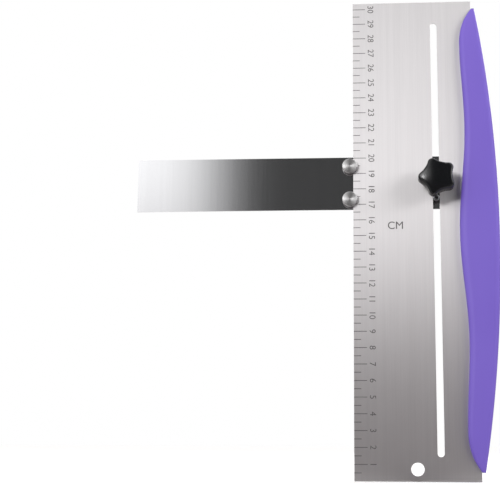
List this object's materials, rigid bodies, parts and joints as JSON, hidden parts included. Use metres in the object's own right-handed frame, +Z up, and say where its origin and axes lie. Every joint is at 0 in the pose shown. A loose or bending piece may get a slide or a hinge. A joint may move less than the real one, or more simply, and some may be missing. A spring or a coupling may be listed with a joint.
{
  "type": "cake scraper",
  "caption": "Upright slotted steel scraper plate with an etched scale and a side grip, and a levelling arm that slides along the slot and is clamped by a star knob.",
  "frame": {"origin": "middle of the plate's bottom edge, half-way through the sheet, where the scraper stands on a turntable", "axes": "+Z up along the plate, +X across the plate towards the handle, -Y towards the side with the scale and the knob"},
  "size_m": [0.2285, 0.025, 0.304],
  "materials": {
    "brushed_steel": "vertically brushed stainless sheet with an etched centimetre scale",
    "polished_steel": "polished stainless sheet",
    "turned_steel": "lathe-turned stainless with concentric marks",
    "plated_steel": "bright zinc-plated steel",
    "grip_plastic": "satin moulded polypropylene, purple",
    "knob_plastic": "glossy black moulded nylon",
    "insert_brass": "turned brass"
  },
  "bodies": {
    "plate": {"scraper_plate": "brushed_steel", "handle_front_shell": "grip_plastic", "handle_rear_shell": "grip_plastic"},
    "arm": {"levelling_arm": "polished_steel", "upper_guide_stud": "turned_steel", "lower_guide_stud": "turned_steel", "upper_guide_pin": "plated_steel", "lower_guide_pin": "plated_steel", "clamp_bolt": "plated_steel"},
    "washer": {"clamp_washer": "plated_steel"},
    "knob": {"clamp_knob": "knob_plastic", "knob_insert": "insert_brass"}
  },
  "joints": [
    {"name": "arm_height", "type": "slide", "parent": "plate", "child": "arm", "axis": [0, 0, 1], "range_m": [-0.156, 0.0925]},
    {"name": "knob_lift", "type": "slide", "parent": "arm", "child": "washer", "axis": [0, -1, 0], "range_m": [0, 0.0015]},
    {"name": "knob_turn", "type": "hinge", "parent": "washer", "child": "knob", "pos_m": [0.014, -0.0065, 0.1837], "axis": [0, -1, 0], "range_deg": [0, 720]}
  ],
  "couplings": [
    {"joint": "knob_lift", "follows": "knob_turn", "m_per_rad": 0.00011141}
  ]
}
